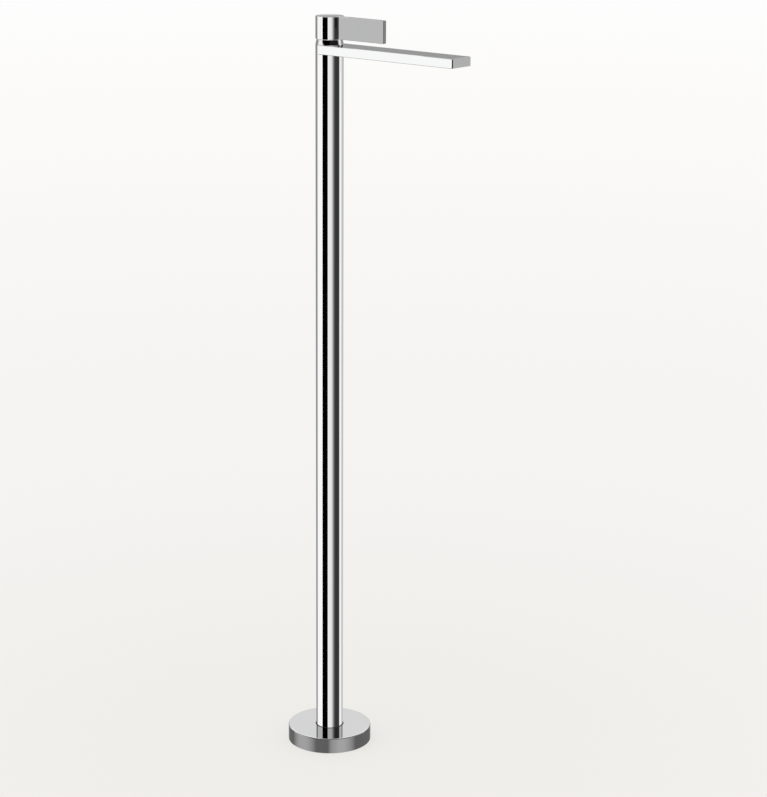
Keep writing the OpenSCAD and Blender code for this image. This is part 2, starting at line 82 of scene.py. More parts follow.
def place(tree, kind, inputs=None, **settings):
    node = tree.nodes.new(kind)
    for name, value in settings.items():
        setattr(node, name, value)
    for name, value in (inputs or {}).items():
        node.inputs[name].default_value = value
    return node


def wire(tree, source, target):
    tree.links.new(source, target)


def feed(tree, value, socket):
    # a number is written on the socket, anything else is wired to it
    if isinstance(value, (int, float)):
        socket.default_value = value
    else:
        wire(tree, value, socket)


def calc(tree, operation, a, b=None):
    node = place(tree, "ShaderNodeMath", operation=operation)
    feed(tree, a, node.inputs[0])
    if b is not None:
        feed(tree, b, node.inputs[1])
    return node.outputs[0]


def weigh(tree, first, second, share):
    # the first mask at its share, and the second at the rest
    return calc(tree, "ADD", calc(tree, "MULTIPLY", first, share), calc(tree, "MULTIPLY", second, 1 - share))


def remap(tree, value, low, high, toLow=0.0, toHigh=1.0):
    ends = {"From Min": low, "From Max": high, "To Min": toLow, "To Max": toHigh}
    node = place(tree, "ShaderNodeMapRange", ends)
    wire(tree, value, node.inputs["Value"])
    return node.outputs["Result"]


def noise(tree, where, scale, **inputs):
    node = place(tree, "ShaderNodeTexNoise", inputs)
    wire(tree, where, node.inputs["Vector"])
    feed(tree, scale, node.inputs["Scale"])
    return node.outputs["Fac"]


def blendColors(tree, mask, first, second):
    node = place(tree, "ShaderNodeMix", data_type="RGBA")
    feed(tree, mask, node.inputs["Factor"])
    for slot, value in ((node.inputs[6], first), (node.inputs[7], second)):  # the two colour sockets
        if isinstance(value, tuple):
            slot.default_value = (*value, 1)
        else:
            wire(tree, value, slot)
    return node.outputs[2]


def mixShaders(tree, share, first, second):
    node = place(tree, "ShaderNodeMixShader")
    feed(tree, share, node.inputs[0])
    wire(tree, first, node.inputs[1])
    wire(tree, second, node.inputs[2])
    return node.outputs[0]


def bands(tree, value, low, high, stops):
    # a ramp with stops of (value, tone) or (value, red, green, blue)
    node = place(tree, "ShaderNodeValToRGB")
    ramp = node.color_ramp
    while len(ramp.elements) < len(stops):
        ramp.elements.new(0.5)
    for element, (at, *tone) in zip(ramp.elements, stops):
        element.position = (at - low) / (high - low)
        element.color = (*tone, 1) if len(tone) == 3 else (*tone, *tone, *tone, 1)
    wire(tree, remap(tree, value, low, high), node.inputs["Fac"])
    return node.outputs["Color"]


def newGroup(name, inputs, outputs):
    # a group that reads a place and its own settings, and puts out plain values
    group = bpy.data.node_groups.new(name, "ShaderNodeTree")
    group.interface.new_socket("Vector", in_out="INPUT", socket_type="NodeSocketVector")
    for socket, value in inputs.items():
        kind = "NodeSocketFloat" if isinstance(value, float) else "NodeSocketVector"
        group.interface.new_socket(socket, in_out="INPUT", socket_type=kind).default_value = value
    for socket in outputs:
        group.interface.new_socket(socket, in_out="OUTPUT", socket_type="NodeSocketFloat")
    start = group.nodes.new("NodeGroupInput")
    end = group.nodes.new("NodeGroupOutput")
    return group, start.outputs, end.inputs


def useGroup(tree, group, vector, **values):
    node = place(tree, "ShaderNodeGroup", node_tree=group)
    wire(tree, vector, node.inputs["Vector"])
    for name, value in values.items():
        node.inputs[name].default_value = value
    return node.outputs


# Effects that several finishes share
# a setting that ends in Over holds the two noise values between which a mark comes up

hazeMarks = {
    "scale": 9.0,
    "speckScale": 240.0,
    "detail": 5.0,
    "roughness": 0.62,
    "hazeOver": (0.42, 0.72),
    "speckedOver": (0.5, 0.6),
    "speck": (0.16, 0.05),  # from a speck's edge to its full strength, in shares of its cell
}


def makeHazeGroup():
    marks = hazeMarks
    settings = {"Scale": marks["scale"], "Speck Scale": marks["speckScale"]}
    group, start, end = newGroup("handlingHaze", settings, ["Haze", "Specks"])
    cloud = noise(group, start["Vector"], start["Scale"], Detail=marks["detail"],
                  Roughness=marks["roughness"])
    wire(group, remap(group, cloud, *marks["hazeOver"]), end["Haze"])
    drops = place(group, "ShaderNodeTexVoronoi", {"Randomness": 1.0})
    wire(group, start["Vector"], drops.inputs["Vector"])
    wire(group, start["Speck Scale"], drops.inputs["Scale"])
    dots = remap(group, drops.outputs["Distance"], *marks["speck"])
    specked = remap(group, cloud, *marks["speckedOver"])
    wire(group, calc(group, "MULTIPLY", dots, specked), end["Specks"])
    return group


turnedMarks = {
    "pitch": 2500.0,
    "ringDetail": 3.0,
    "ringRoughness": 0.7,
    "stainScale": 70.0,
    "stainDetail": 6.0,
    "stainRoughness": 0.65,
    "stainOver": (0.45, 0.7),
}


def makeTurnedGroup():
    marks = turnedMarks
    group, start, end = newGroup("turnedMarks", {"Pitch": marks["pitch"]}, ["Marks", "Tarnish"])
    flat = place(group, "ShaderNodeVectorMath", {1: (1, 1, 0)}, operation="MULTIPLY")
    wire(group, start["Vector"], flat.inputs[0])
    radius = place(group, "ShaderNodeVectorMath", operation="LENGTH")
    wire(group, flat.outputs[0], radius.inputs[0])
    parts = place(group, "ShaderNodeSeparateXYZ")
    wire(group, start["Vector"], parts.inputs[0])
    along = calc(group, "ADD", radius.outputs["Value"], parts.outputs["Z"])
    settings = {"Scale": 1.0, "Detail": marks["ringDetail"], "Roughness": marks["ringRoughness"]}
    rings = place(group, "ShaderNodeTexNoise", settings, noise_dimensions="1D")
    wire(group, calc(group, "MULTIPLY", along, start["Pitch"]), rings.inputs["W"])
    wire(group, rings.outputs["Fac"], end["Marks"])
    stain = noise(group, start["Vector"], marks["stainScale"], Detail=marks["stainDetail"],
                  Roughness=marks["stainRoughness"])
    wire(group, remap(group, stain, *marks["stainOver"]), end["Tarnish"])
    return group


brushedMarks = {
    "stretch": (12.0, 900.0, 900.0),
    "grainDetail": 4.0,
    "grainRoughness": 0.6,
    "cloudScale": 45.0,
    "cloudDetail": 4.0,
    "cloudOver": (0.35, 0.7),
}


def makeBrushedGroup():
    marks = brushedMarks
    group, start, end = newGroup("brushedGrain", {"Stretch": marks["stretch"]}, ["Grain", "Cloud"])
    stretched = place(group, "ShaderNodeVectorMath", operation="MULTIPLY")
    wire(group, start["Vector"], stretched.inputs[0])
    wire(group, start["Stretch"], stretched.inputs[1])
    grain = noise(group, stretched.outputs[0], 1.0, Detail=marks["grainDetail"],
                  Roughness=marks["grainRoughness"])
    wire(group, grain, end["Grain"])
    cloud = noise(group, start["Vector"], marks["cloudScale"], Detail=marks["cloudDetail"])
    wire(group, remap(group, cloud, *marks["cloudOver"]), end["Cloud"])
    return group


mouldedMarks = {
    "scale": 1600.0,
    "grainDetail": 3.0,
    "grainRoughness": 0.55,
    "flowScale": 90.0,
    "flowDetail": 3.0,
    "flowSwirl": 0.8,
    "flowOver": (0.35, 0.7),
}


def makeMouldedGroup():
    marks = mouldedMarks
    group, start, end = newGroup("mouldedGrain", {"Scale": marks["scale"]}, ["Grain", "Flow"])
    grain = noise(group, start["Vector"], start["Scale"], Detail=marks["grainDetail"],
                  Roughness=marks["grainRoughness"])
    wire(group, grain, end["Grain"])
    flow = noise(group, start["Vector"], marks["flowScale"], Detail=marks["flowDetail"],
                 Distortion=marks["flowSwirl"])
    wire(group, remap(group, flow, *marks["flowOver"]), end["Flow"])
    return group


haze = makeHazeGroup()
turned = makeTurnedGroup()
brushed = makeBrushedGroup()
moulded = makeMouldedGroup()

# Finishes, each with its bump as a strength and a height in metres


def newFinish(name, **constants):
    material = bpy.data.materials.new(name)
    material.use_nodes = True
    tree = material.node_tree
    shader = tree.nodes["Principled BSDF"]
    for socket, value in constants.items():
        shader.inputs[socket.replace("_", " ")].default_value = value
    coords = place(tree, "ShaderNodeTexCoord")
    return material, tree, shader, coords.outputs["Object"]


def dress(tree, shader, color, rough, relief, bump):
    strength, height = bump
    wire(tree, color, shader.inputs["Base Color"])
    wire(tree, rough, shader.inputs["Roughness"])
    raised = place(tree, "ShaderNodeBump", {"Strength": strength, "Distance": height})
    wire(tree, relief, raised.inputs["Height"])
    wire(tree, raised.outputs["Normal"], shader.inputs["Normal"])


chromeLook = {
    "clean": (0.938, 0.940, 0.943),
    "hazed": (0.915, 0.918, 0.923),
    "rough": (0.008, 0.020),
    "hazeScale": 14.0,
    "hazeShare": 0.6,  # haze against specks
    "rippleScale": 55.0,
    "bump": (1.0, 4e-7),  # the plating's slow ripple
}


def makeChrome():
    look = chromeLook
    material, tree, shader, where = newFinish("polishedChrome", Metallic=1.0)
    marks = useGroup(tree, haze, where, Scale=look["hazeScale"])
    dull = weigh(tree, marks["Haze"], marks["Specks"], look["hazeShare"])
    color = blendColors(tree, dull, look["clean"], look["hazed"])
    rough = remap(tree, dull, 0, 1, *look["rough"])
    ripple = noise(tree, where, look["rippleScale"], Detail=2.0)
    dress(tree, shader, color, rough, ripple, look["bump"])
    return material


brassLook = {
    "bright": (0.80, 0.60, 0.30),
    "tarnished": (0.56, 0.37, 0.17),
    "rough": (0.20, 0.42),
    "roughOver": (0.1, 0.9),
    "pitch": 2200.0,
    "tarnish": 0.55,
    "marksShare": 0.6,  # tool marks against tarnish
    "bump": (0.35, 0.00004),
}


def makeBrass():
    look = brassLook
    material, tree, shader, where = newFinish("machinedBrass", Metallic=1.0)
    marks = useGroup(tree, turned, where, Pitch=look["pitch"])
    tarnish = calc(tree, "MULTIPLY", marks["Tarnish"], look["tarnish"])
    color = blendColors(tree, tarnish, look["bright"], look["tarnished"])
    mixed = weigh(tree, marks["Marks"], marks["Tarnish"], look["marksShare"])
    rough = remap(tree, mixed, *look["roughOver"], *look["rough"])
    dress(tree, shader, color, rough, marks["Marks"], look["bump"])
    return material


steelLook = {
    "bright": (0.70, 0.71, 0.72),
    "dull": (0.52, 0.53, 0.55),
    "rough": (0.24, 0.42),
    "roughOver": (0.2, 0.8),
    "grainShare": 0.7,  # brushed grain against clouding
    "bump": (0.3, 0.00003),
}


def makeSteel():
    look = steelLook
    material, tree, shader, where = newFinish("brushedSteel", Metallic=1.0)
    marks = useGroup(tree, brushed, where)
    tone = weigh(tree, marks["Grain"], marks["Cloud"], look["grainShare"])
    color = blendColors(tree, tone, look["bright"], look["dull"])
    rough = remap(tree, tone, *look["roughOver"], *look["rough"])
    dress(tree, shader, color, rough, marks["Grain"], look["bump"])
    return material


darkSteelLook = {
    "black": (0.045, 0.045, 0.050),
    "worn": (0.17, 0.17, 0.18),
    "wear": 0.6,
    "rough": (0.34, 0.55),
    "roughOver": (0.2, 0.8),
    "grain": 900.0,
    "bump": (0.3, 0.00002),
}
rubberLook = {
    "black": (0.016, 0.016, 0.017),
    "worn": (0.055, 0.054, 0.052),
    "wear": 0.5,
    "rough": (0.55, 0.80),
    "roughOver": (0.2, 0.8),
    "grain": 2200.0,
    "bump": (0.4, 0.00003),
}


def makeBlack(name, look, **constants):
    material, tree, shader, where = newFinish(name, **constants)
    marks = useGroup(tree, moulded, where, Scale=look["grain"])
    worn = calc(tree, "MULTIPLY", marks["Flow"], look["wear"])
    color = blendColors(tree, worn, look["black"], look["worn"])
    rough = remap(tree, marks["Grain"], *look["roughOver"], *look["rough"])
    dress(tree, shader, color, rough, marks["Grain"], look["bump"])
    return material


braidLook = {
    "wire": (0.68, 0.69, 0.70),
    "shadow": (0.10, 0.10, 0.11),
    "axis": 0.010,  # distance of each hose's axis from the column's
    "strands": 24,
    "lay": 1500.0,  # turns of the weave along the hose, in radians a metre
    "crossing": 0.25,  # how softly one strand passes over another
    "wireOver": (0.1, 0.6),
    "rough": (0.55, 0.28),
    "bump": (0.6, 0.0002),
}


def makeBraid():
    look = braidLook
    material, tree, shader, where = newFinish("braidedWire", Metallic=1.0)
    parts = place(tree, "ShaderNodeSeparateXYZ")
    wire(tree, where, parts.inputs[0])
    across = calc(tree, "SUBTRACT", calc(tree, "ABSOLUTE", parts.outputs["Y"]), look["axis"])
    turn = calc(tree, "ARCTAN2", across, parts.outputs["X"])
    around = calc(tree, "MULTIPLY", turn, look["strands"] / 2)
    along = calc(tree, "MULTIPLY", parts.outputs["Z"], look["lay"])
    left = calc(tree, "SINE", calc(tree, "ADD", around, along))
    right = calc(tree, "SINE", calc(tree, "SUBTRACT", around, along))
    over = remap(tree, calc(tree, "MULTIPLY", left, right), -look["crossing"], look["crossing"])
    above = calc(tree, "MULTIPLY", calc(tree, "ABSOLUTE", left), over)
    below = calc(tree, "MULTIPLY", calc(tree, "ABSOLUTE", right), calc(tree, "SUBTRACT", 1.0, over))
    weave = calc(tree, "MAXIMUM", above, below)
    color = blendColors(tree, remap(tree, weave, *look["wireOver"]), look["shadow"], look["wire"])
    rough = remap(tree, weave, 0, 1, *look["rough"])
    dress(tree, shader, color, rough, weave, look["bump"])
    return material


plasticLook = {
    "white": {"light": (0.84, 0.84, 0.82), "dark": (0.78, 0.78, 0.75), "rough": (0.34, 0.52)},
    "grey": {"light": (0.50, 0.51, 0.52), "dark": (0.42, 0.43, 0.44), "rough": (0.36, 0.55)},
    "roughOver": (0.2, 0.8),
    "bump": (0.25, 0.00002),
}


def makePlastic(tint):
    look = plasticLook[tint]
    material, tree, shader, where = newFinish(tint + "Plastic", Specular_IOR_Level=0.5)
    marks = useGroup(tree, moulded, where)
    color = blendColors(tree, marks["Flow"], look["light"], look["dark"])
    rough = remap(tree, marks["Grain"], *plasticLook["roughOver"], *look["rough"])
    dress(tree, shader, color, rough, marks["Grain"], plasticLook["bump"])
    return material


ceramicLook = {
    "body": (0.86, 0.85, 0.82),
    "grain": (0.74, 0.73, 0.69),
    "rough": (0.08, 0.20),
    "grainScale": 5200.0,
    "grainOver": (0.5, 0.75),
    "bump": (0.08, 0.00001),
}


def makeCeramic():
    look = ceramicLook
    material, tree, shader, where = newFinish("lappedCeramic", Specular_IOR_Level=0.6)
    marks = useGroup(tree, moulded, where, Scale=look["grainScale"])
    color = blendColors(tree, remap(tree, marks["Grain"], *look["grainOver"]), look["body"], look["grain"])
    rough = remap(tree, marks["Flow"], 0, 1, *look["rough"])
    dress(tree, shader, color, rough, marks["Grain"], look["bump"])
    return material


finishes = {
    "chrome": makeChrome(),
    "brass": makeBrass(),
    "steel": makeSteel(),
    "dark_steel": makeBlack("blackenedSteel", darkSteelLook, Metallic=1.0),
    "black_rubber": makeBlack("blackRubber", rubberLook, Specular_IOR_Level=0.35),
    "braided_hose": makeBraid(),
    "white_plastic": makePlastic("white"),
    "grey_plastic": makePlastic("grey"),
    "ceramic": makeCeramic(),
}
for part in frame["record"]["subparts"]:
    node = frame["nodes"][part["node"]]
    node.data.materials.clear()
    node.data.materials.append(finishes[part["material_slot"]])
print("finishes made:", len(finishes))

# Mesh helpers

modelling = {
    "round": 256,  # faces round a piece as wide as the column
    "sharpFrom": math.radians(14),  # a steeper edge is shown sharp
    "softenFrom": math.radians(30),  # a steeper edge is softened
    "across": 0.03,  # how far from the axis a cutting rod starts
    "past": 0.01,  # how far a cutting rod runs past what it cuts
    "weld": 1e-7,  # corners this close are one
    "near": 1e-6,  # places this close count as the same
}


def spinProfile(points, steps=modelling["round"]):
    # turns a closed outline of (radius, height) round the column's axis
    bm = bmesh.new()
    corners = [bm.verts.new((r, 0, z)) for r, z in points]
    sides = [bm.edges.new((corners[i - 1], corners[i])) for i in range(len(corners))]
    bmesh.ops.spin(bm, geom=corners + sides, cent=(0, 0, 0), axis=(0, 0, 1), angle=2 * math.pi,
                   steps=steps, use_merge=True)
    bmesh.ops.remove_doubles(bm, verts=bm.verts, dist=modelling["weld"])
    bmesh.ops.recalc_face_normals(bm, faces=bm.faces)
    return bm


def roundRim(radius, top, edge, steps=6, hold=0.0003):
    # an upright wall's profile points, from a flat top over a round edge, with a short hold on both sides
    points = [(radius - edge - hold, top)]
    for i in range(steps, -1, -1):
        turn = math.pi / 2 * i / steps
        points.append((radius - edge + edge * math.cos(turn), top - edge + edge * math.sin(turn)))
    return points + [(radius, top - edge - hold)]


def creasedRim(radius, top, arcs, steps=5, hold=0.0003):
    # profile points of a flat top that rolls down through arcs to a crease on an upright wall
    points = [(-hold, 0.0), (0.0, 0.0)]
    for curve, first, last in arcs:
        for i in range(steps):
            tilt = math.radians(first + (last - first) * (i + 0.5) / steps)
            length = curve * math.radians(last - first) / steps
            out, down = points[-1]
            points.append((out + length * math.cos(tilt), down - length * math.sin(tilt)))
    start = radius - points[-1][0]
    return [(start + out, top + down) for out, down in reversed(points)]


def boxShape(x, y, z):
    bm = bmesh.new()
    made = bmesh.ops.create_cube(bm, size=1)["verts"]
    bmesh.ops.scale(bm, vec=(x[1] - x[0], y[1] - y[0], z[1] - z[0]), verts=made)
    bmesh.ops.translate(bm, vec=((x[0] + x[1]) / 2, (y[0] + y[1]) / 2, (z[0] + z[1]) / 2), verts=made)
    return bm


def rodShape(radius, start, end, steps=64):
    # a plain rod along Z, used to cut holes
    bm = bmesh.new()
    made = bmesh.ops.create_cone(bm, cap_ends=True, segments=steps, radius1=radius, radius2=radius,
                                 depth=end - start)["verts"]
    bmesh.ops.translate(bm, vec=(0, 0, (start + end) / 2), verts=made)
    return bm


def turnToX(bm):
    # lays a shape made along Z down along X
    bmesh.ops.rotate(bm, cent=(0, 0, 0), matrix=Matrix.Rotation(math.pi / 2, 3, "Y"), verts=bm.verts)
    return bm


def moveBy(bm, x=0.0, z=0.0, made=None):
    # moves the whole shape, or only the corners that an operator has just made
    verts = bm.verts if made is None else [g for g in made["geom"] if isinstance(g, bmesh.types.BMVert)]
    bmesh.ops.translate(bm, vec=(x, 0, z), verts=verts)
    return bm


def soften(bm, width, steps=2, only=None):
    edges = [e for e in bm.edges if len(e.link_faces) == 2 and (only is None or only(e))
             and e.calc_face_angle(0) > modelling["softenFrom"]]
    bmesh.ops.bevel(bm, geom=edges, offset=width, offset_type="OFFSET", affect="EDGES", segments=steps,
                    profile=0.5, material=-1, clamp_overlap=True)
    return bm


def isUpright(edge):
    return abs(edge.verts[0].co.z - edge.verts[1].co.z) > modelling["near"]


def isLevel(edge):
    return not isUpright(edge)


def cutAway(bm, tool):
    holders = []
    for shape in (bm, tool):
        mesh = bpy.data.meshes.new("shaping")
        shape.to_mesh(mesh)
        shape.free()
        holder = bpy.data.objects.new("shaping", mesh)
        scene.collection.objects.link(holder)
        holders.append(holder)
    modifier = holders[0].modifiers.new("shaping", "BOOLEAN")
    modifier.operation = "DIFFERENCE"
    modifier.solver = "EXACT"
    modifier.object = holders[1]
    shaped = bpy.data.meshes.new_from_object(holders[0].evaluated_get(bpy.context.evaluated_depsgraph_get()))
    result = bmesh.new()
    result.from_mesh(shaped)
    for holder in holders:
        mesh = holder.data
        bpy.data.objects.remove(holder)
        bpy.data.meshes.remove(mesh)
    bpy.data.meshes.remove(shaped)
    return result


def newObject(name, bm):
    mesh = bpy.data.meshes.new(name)
    bm.to_mesh(mesh)
    bm.free()
    made = bpy.data.objects.new(name, mesh)
    scene.collection.objects.link(made)
    return made


def finishPiece(name, bm, finish, body, nodes, mirrored=True):
    piece = newObject(name, bm)
    piece.data.shade_smooth()
    piece.data.set_sharp_from_angle(angle=modelling["sharpFrom"])
    piece.data.materials.append(finishes[finish])
    piece.visible_glossy = mirrored
    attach(piece, body)
    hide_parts(*nodes)
    print("piece made:", name)


# Column, flush with the spout above it

column = {
    "radius": 0.020,
    "bore": 0.0175,
    "foot": 0.014,
    "top": 1.037,
    "edge": 0.0001,
    "collar": 0.0235,  # a ring of edges that keeps the screw holes out of the long wall
    "lengths": 32,  # the wall is made of short lengths, so that no face is long and thin
    "grubHeight": 0.0175,
    "grubRadius": 0.002,
}


def makeColumn():
    outer, inner, foot = column["radius"], column["bore"], column["foot"]
    collar, lengths = column["collar"], column["lengths"]
    rings = [collar + (column["top"] - collar) * i / lengths for i in range(lengths + 1)]
    bm = spinProfile([(inner, foot), (outer, foot)] + [(outer, z) for z in rings]
                     + [(inner, z) for z in reversed(rings)])
    soften(bm, column["edge"], 1)
    across = modelling["across"]
    bm = cutAway(bm, moveBy(turnToX(rodShape(column["grubRadius"], -across, across)), z=column["grubHeight"]))
    finishPiece("columnTube", bm, "chrome", "stand", ["column_tube"])


# Spout, a flat bar as wide as the column

spout = {
    "reach": 0.236,
    "half": 0.020,
    "bottom": 1.037,
    "top": 1.050,
    "tipCorner": 0.0012,
    "edge": 0.0005,
    "socket": 0.017,
    "socketSides": 128,
    "outlet": 0.216,
    "outletRadius": 0.00925,
    "outletSides": 96,
    "pocket": 0.0068,
    "wall": 0.003,
    "channelStart": 0.012,
    "channelHalf": 0.015,
    "outletWall": 0.013,  # from the outlet's axis back to the channel's end
    "screwRadius": 0.002,
    "screwEnd": -0.010,
}


def makeSpout():
    outlet, low, high = spout["outlet"], spout["bottom"], spout["top"]
    bm = bmesh.new()
    bmesh.ops.create_circle(bm, cap_ends=True, radius=spout["half"], segments=modelling["round"])
    bmesh.ops.bisect_plane(bm, geom=bm.verts[:] + bm.edges[:] + bm.faces[:], dist=modelling["weld"],
                           plane_co=(0, 0, 0), plane_no=(1, 0, 0), clear_outer=True)
    straight = [e for e in bm.edges if all(abs(v.co.x) < modelling["near"] for v in e.verts)]
    moveBy(bm, x=spout["reach"], made=bmesh.ops.extrude_edge_only(bm, edges=straight))
    moveBy(bm, z=low)
    moveBy(bm, z=high - low, made=bmesh.ops.extrude_face_region(bm, geom=bm.faces[:], use_keep_orig=True))
    bmesh.ops.recalc_face_normals(bm, faces=bm.faces)
    soften(bm, spout["tipCorner"], only=isUpright)
    soften(bm, spout["edge"], only=isLevel)

    # the column's socket, the outlet's pocket, the water channel and the locking screw's hole
    past, wall, half = modelling["past"], spout["wall"], spout["channelHalf"]
    bm = cutAway(bm, rodShape(spout["socket"], low - past, high + past, spout["socketSides"]))
    pocket = rodShape(spout["outletRadius"], low - past, low + spout["pocket"], spout["outletSides"])
    bm = cutAway(bm, moveBy(pocket, x=outlet))
    channel = (spout["channelStart"], outlet - spout["outletWall"])
    bm = cutAway(bm, boxShape(channel, (-half, half), (low + wall, high - wall)))
    screw = rodShape(spout["screwRadius"], -modelling["across"], spout["screwEnd"])
    bm = cutAway(bm, moveBy(turnToX(screw), z=(low + high) / 2))
    finishPiece("spoutBar", bm, "chrome", "stand", ["spout_body"])


# Neck ring, the cone between the spout and the handle

neck = {
    "foot": 0.020,
    "head": 0.0184,
    "bore": 0.014,
    "bottom": 1.050,
    "top": 1.0573,
    "crown": 0.00004,  # how far the cone swells at half height
    "steps": 6,
    "edge": 0.0001,
}


def makeNeck():
    foot, bottom, bore = neck["foot"], neck["bottom"], neck["bore"]
    wall = []
    for i in range(neck["steps"] + 1):
        part = i / neck["steps"]
        swell = neck["crown"] * 4 * part * (1 - part)
        wall.append((foot + (neck["head"] - foot) * part + swell, bottom + (neck["top"] - bottom) * part))
    bm = spinProfile([(bore, bottom)] + wall + [(bore, neck["top"])])
    soften(bm, neck["edge"], 1)
    finishPiece("neckRing", bm, "chrome", "stand", ["neck_ring"])


# Handle cap with the boss that holds the stem's adapter

cap = {
    "radius": 0.020,
    "bore": 0.018,
    "bottom": 1.058,
    "top": 1.090,
    "roof": 0.003,
    "rim": 0.0008,
    "edge": 0.0004,
    "softBelow": 0.002,  # edges this far under the top are softened, the rim is round already
    "rings": (1.078, 1.070),  # rings of edges that keep the screw's hole out of the rim
    "bossRadius": 0.010,
    "bossBore": 0.0065,
    "bossBottom": 1.066,
    "bossRoof": 1.082,
    "screwHeight": 1.074,
    "screwRadius": 0.0025,
}


def makeCap():
    radius, bore, bottom, top = cap["radius"], cap["bore"], cap["bottom"], cap["top"]
    boss, bossBore = cap["bossRadius"], cap["bossBore"]
    bossBottom, bossRoof = cap["bossBottom"], cap["bossRoof"]
    roof, line = top - cap["roof"], top - cap["softBelow"]
    bm = spinProfile(
        [(0, top)] + roundRim(radius, top, cap["rim"]) + [(radius, z) for z in cap["rings"]]
        + [(radius, bottom), (bore, bottom), (bore, roof), (boss, roof), (boss, bossBottom),
           (bossBore, bossBottom), (bossBore, bossRoof), (0, bossRoof)])
    soften(bm, cap["edge"], only=lambda e: max(v.co.z for v in e.verts) < line)
    screw = rodShape(cap["screwRadius"], -modelling["across"], 0)
    bm = cutAway(bm, moveBy(turnToX(screw), z=cap["screwHeight"]))
    finishPiece("handleCap", bm, "chrome", "lever", ["handle_cap"], mirrored=False)


# Lever plate, fitted to the cap's wall

lever = {
    "start": 0.012,  # inside the cap, whose wall cuts the plate's end to shape
    "reach": 0.101,
    "half": 0.003,
    "bottom": 1.058,
    "top": 1.090,
    "edge": 0.00035,
}


def makeLever():
    half, bottom, top, past = lever["half"], lever["bottom"], lever["top"], modelling["past"]
    bm = boxShape((lever["start"], lever["reach"]), (-half, half), (bottom, top))
    soften(bm, lever["edge"])
    bm = cutAway(bm, rodShape(cap["radius"], bottom - past, top + past, modelling["round"]))
    finishPiece("leverPlate", bm, "chrome", "lever", ["lever_plate"], mirrored=False)


# Flange cover, hollow below and with a collar round the column

flange = {
    "radius": 0.062,
    "height": 0.023,
    "wall": 0.0025,
    "rim": [(0.0040, 0, 13), (0.0009, 13, 44), (0.0030, 44, 60)],  # arcs inside out: radius, tilt from and to
    "ringGap": 0.0212,
    "grooveRadius": 0.02195,
    "groove": (0.0196, 0.0218),
    "bore": 0.0203,
    "collarRadius": 0.0243,
    "collarBottom": 0.0188,
    "steps": 320,
    "unmirrored": ["base_plate", "foot_manifold", "manifold_screws", "floor_seal"],
}


def makeFlange():
    radius, height, bore = flange["radius"], flange["height"], flange["bore"]
    inside, roof = radius - flange["wall"], height - flange["wall"]
    gap, groove, (grooveLow, grooveHigh) = flange["ringGap"], flange["grooveRadius"], flange["groove"]
    collar, collarLow = flange["collarRadius"], flange["collarBottom"]
    bm = spinProfile(
        [(inside, 0), (radius, 0)] + creasedRim(radius, height, flange["rim"])
        + [(gap, height), (gap, grooveHigh), (groove, grooveHigh), (groove, grooveLow), (bore, grooveLow),
           (bore, collarLow), (collar, collarLow), (collar, roof), (inside, roof)], flange["steps"])
    finishPiece("flangeCover", bm, "chrome", "flange", ["flange_cover"], mirrored=False)
    for name in flange["unmirrored"]:
        frame["nodes"][name].visible_glossy = False


# Flange ring, an O-ring whose lip wipes the column and shows as a dark line round its foot

flangeRing = {
    "inner": 0.0201,
    "outer": 0.0219,
    "bottom": 0.0197,
    "shoulder": 0.0217,
    "lipOuter": 0.0211,
    "lipTop": 0.0232,
    "edge": 0.0001,
    "steps": 192,
}


def makeFlangeRing():
    inner, outer, bottom = flangeRing["inner"], flangeRing["outer"], flangeRing["bottom"]
    shoulder, lip, lipTop = flangeRing["shoulder"], flangeRing["lipOuter"], flangeRing["lipTop"]
    bm = spinProfile([(inner, bottom), (outer, bottom), (outer, shoulder), (lip, shoulder), (lip, lipTop),
                      (inner, lipTop)], flangeRing["steps"])
    soften(bm, flangeRing["edge"])
    finishPiece("flangeRing", bm, "black_rubber", "flange", ["flange_o_ring"])


makeColumn()
makeSpout()
makeNeck()
makeCap()
makeLever()
makeFlange()
makeFlangeRing()

# Studio: a pale floor, soft even light, and panels and flags round the chrome

studio = {
    "heading": photoView["heading"],
    "light": 0.88,
    "backdrop": (0.984, 0.984, 0.984),
    "panels": [  # degrees round from the camera, brightness of what stands there
        (-180, 0.42), (-148, 0.28), (-115.8, 0.28), (-115.8, 0.99), (-60.4, 0.99), (-60.4, 0.0),
        (-23.0, 0.0), (-15.0, 0.012), (-13.8, 0.93), (16.6, 0.80), (23.9, 0.50), (31.6, 0.23),
        (40.2, 0.075), (49.2, 0.036), (85.4, 0.041), (88.5, 0.927),
        (112, 0.927), (116, 0.554), (148, 0.554), (180, 0.42)],
    "lean": 0.005,  # how much the panels spread, for each degree away from the level of the handle
    "handleHeight": 6.8,
    "sky": (-5.6, 5.0, 0.45, (0.86, 0.86, 0.87)),  # heights between which the panels pale by this share
    "ground": (-24.2, -36.0, 0.30, (0.80, 0.79, 0.765)),  # and between which only this share of them stays
    "pairedPast": 120,  # a board whose middle is further round than this stands on both sides
    "echoDepth": 1.5,  # mirror bounces past which the echo boards are seen
    "echoShare": 0.5,  # brightness that the panels keep where they are mirrored twice
}
